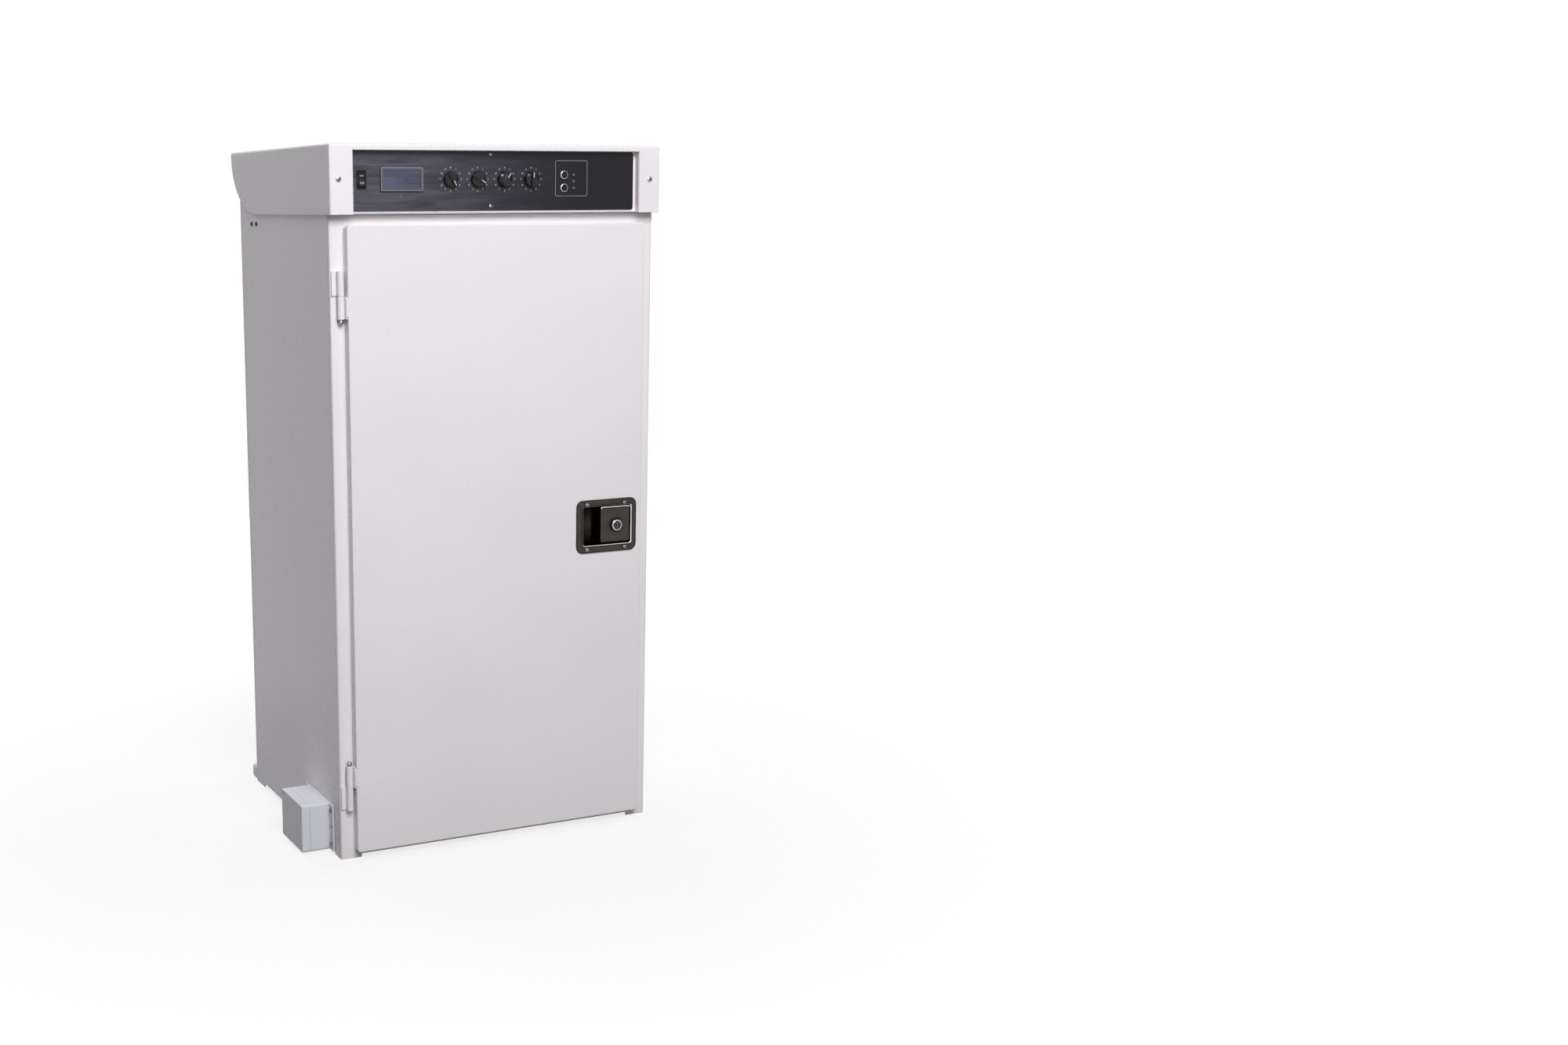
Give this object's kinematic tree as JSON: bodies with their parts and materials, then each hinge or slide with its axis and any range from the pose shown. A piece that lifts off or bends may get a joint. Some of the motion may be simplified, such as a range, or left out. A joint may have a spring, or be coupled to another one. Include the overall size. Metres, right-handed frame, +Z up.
{
  "type": "automatic hay feeder",
  "caption": "Automatic hay feeder: sheet-steel cabinet, hinged control hood, service door with paddle latch, and a powered slide door over a barred hay window.",
  "frame": {"origin": "middle of the part's bounding box seen from above, on the surface that the feet stand on", "axes": "+Z up, +X to the right seen from the service side, +Y towards the horse side; the service door faces -Y"},
  "size_m": [0.668, 0.5512, 1.2],
  "materials": {
    "white_powder_coat": "gloss white powder coat on sheet steel",
    "black_powder_coat": "satin black powder coat",
    "black_latch": "black electroplated and lacquered steel",
    "black_plastic": "moulded black plastic",
    "grey_plastic": "moulded light grey enclosure plastic",
    "black_overlay": "glossy printed polyester overlay",
    "display_glass": "display window",
    "stainless": "brushed stainless steel",
    "zinc_steel": "bright zinc plated steel",
    "chrome": "polished chrome",
    "steel_rod": "dark bright-drawn steel rod",
    "black_rubber": "black rubber pad",
    "bronze": "bearing bronze",
    "circuit_green": "circuit board laminate",
    "dried_hay": "pressed meadow hay, loose strands outside"
  },
  "bodies": {
    "cabinet": {"cap_flange": "white_powder_coat", "corner_block_left": "white_powder_coat", "corner_block_right": "white_powder_coat", "cover_panel": "white_powder_coat", "draw_latch_bracket": "stainless", "draw_latch_pad": "black_rubber", "enclosure_box": "grey_plastic", "enclosure_lid": "grey_plastic", "floor_pan": "zinc_steel", "frame_hinge_lower": "white_powder_coat", "frame_hinge_upper": "white_powder_coat", "front_frame": "white_powder_coat", "gearmotor": "zinc_steel", "guide_left": "white_powder_coat", "guide_right": "white_powder_coat", "hay_bale": "dried_hay", "liner_left": "white_powder_coat", "liner_right": "white_powder_coat", "load_cell": "zinc_steel", "lower_bearing": "bronze", "motor_mount": "zinc_steel", "piano_leaf_cabinet": "white_powder_coat", "piano_pin": "stainless", "rear_frame": "white_powder_coat", "rod_centre": "steel_rod", "rod_left": "steel_rod", "rod_right": "steel_rod", "side_panel_left": "white_powder_coat", "side_panel_right": "white_powder_coat", "sill": "black_powder_coat", "weigh_tray": "stainless"},
    "hood": {"hood_shell": "white_powder_coat", "piano_leaf_hood": "white_powder_coat", "control_tray": "white_powder_coat", "overlay": "black_overlay", "display_bezel": "black_plastic", "display_glass": "display_glass", "rocker_bezel": "black_plastic", "circuit_board": "circuit_green", "hood_keeper": "stainless"},
    "dial_1": {"knob_1": "black_plastic"},
    "dial_2": {"knob_2": "black_plastic"},
    "dial_3": {"knob_3": "black_plastic"},
    "dial_4": {"knob_4": "black_plastic"},
    "button_1": {"push_button_1": "black_plastic"},
    "button_2": {"push_button_2": "black_plastic"},
    "power_rocker": {"rocker": "black_plastic"},
    "service_door": {"door_pan": "white_powder_coat", "door_hinge_upper": "white_powder_coat", "door_hinge_lower": "white_powder_coat", "latch_dish": "black_latch"},
    "paddle": {"paddle": "black_latch"},
    "lock": {"lock_plug": "chrome"},
    "bolt": {"latch_bolt": "zinc_steel"},
    "feed_door": {"feed_panel": "white_powder_coat", "feed_edge_bar": "black_powder_coat", "drive_nut": "bronze"},
    "screw": {"lead_screw": "zinc_steel"},
    "draw_lever": {"draw_lever": "stainless"},
    "draw_hook": {"draw_hook": "stainless"}
  },
  "joints": [
    {"name": "hood_hinge", "type": "hinge", "parent": "cabinet", "child": "hood", "pos_m": [0.0156, 0.27075, 1.1941], "axis": [-1, 0, 0], "range_deg": [0, 85]},
    {"name": "service_door_hinge", "type": "hinge", "parent": "cabinet", "child": "service_door", "pos_m": [-0.2649, -0.25575, 0.5], "axis": [0, 0, -1], "range_deg": [0, 120]},
    {"name": "paddle_hinge", "type": "hinge", "parent": "service_door", "child": "paddle", "pos_m": [0.25965, -0.26575, 0.5485], "axis": [0, 0, 1], "range_deg": [0, 30], "stiffness_Nm_per_rad": 0.4},
    {"name": "latch_bolt_slide", "type": "slide", "parent": "service_door", "child": "bolt", "axis": [1, 0, 0], "range_m": [-0.012, 0]},
    {"name": "lock_turn", "type": "hinge", "parent": "paddle", "child": "lock", "pos_m": [0.2359, -0.26955, 0.5485], "axis": [0, 1, 0], "range_deg": [0, 90]},
    {"name": "feed_door_slide", "type": "slide", "parent": "cabinet", "child": "feed_door", "axis": [0, 0, 1], "range_m": [-0.468, 0]},
    {"name": "lead_screw_spin", "type": "hinge", "parent": "cabinet", "child": "screw", "pos_m": [0.0156, 0.25575, 0.6], "axis": [0, 0, 1], "continuous": true},
    {"name": "dial_1_turn", "type": "hinge", "parent": "hood", "child": "dial_1", "pos_m": [-0.0694, -0.25485, 1.144], "axis": [0, 1, 0], "range_deg": [-152, 178]},
    {"name": "dial_2_turn", "type": "hinge", "parent": "hood", "child": "dial_2", "pos_m": [-0.0207, -0.25485, 1.144], "axis": [0, 1, 0], "range_deg": [-122, 208]},
    {"name": "dial_3_turn", "type": "hinge", "parent": "hood", "child": "dial_3", "pos_m": [0.028, -0.25485, 1.144], "axis": [0, 1, 0], "range_deg": [-33, 297]},
    {"name": "dial_4_turn", "type": "hinge", "parent": "hood", "child": "dial_4", "pos_m": [0.0767, -0.25485, 1.144], "axis": [0, 1, 0], "range_deg": [0, 330]},
    {"name": "button_1_press", "type": "slide", "parent": "hood", "child": "button_1", "axis": [0, 1, 0], "range_m": [0, 0.0025], "stiffness_N_per_m": 400},
    {"name": "button_2_press", "type": "slide", "parent": "hood", "child": "button_2", "axis": [0, 1, 0], "range_m": [0, 0.0025], "stiffness_N_per_m": 400},
    {"name": "rocker_tilt", "type": "hinge", "parent": "hood", "child": "power_rocker", "pos_m": [-0.22555, -0.25485, 1.1436], "axis": [1, 0, 0], "range_deg": [0, 16]},
    {"name": "draw_lever_hinge", "type": "hinge", "parent": "cabinet", "child": "draw_lever", "pos_m": [0.3266, -0.19275, 1.072], "axis": [0, -1, 0], "range_deg": [-3, 110]},
    {"name": "draw_hook_pivot", "type": "hinge", "parent": "draw_lever", "child": "draw_hook", "pos_m": [0.3226, -0.19275, 1.053], "axis": [0, -1, 0], "range_deg": [-110, 3]}
  ],
  "couplings": [
    {"joint": "latch_bolt_slide", "follows": "paddle_hinge", "m_per_rad": -0.022918},
    {"joint": "lead_screw_spin", "follows": "feed_door_slide", "rad_per_m": 247.37},
    {"joint": "draw_hook_pivot", "follows": "draw_lever_hinge", "ratio": -1}
  ]
}
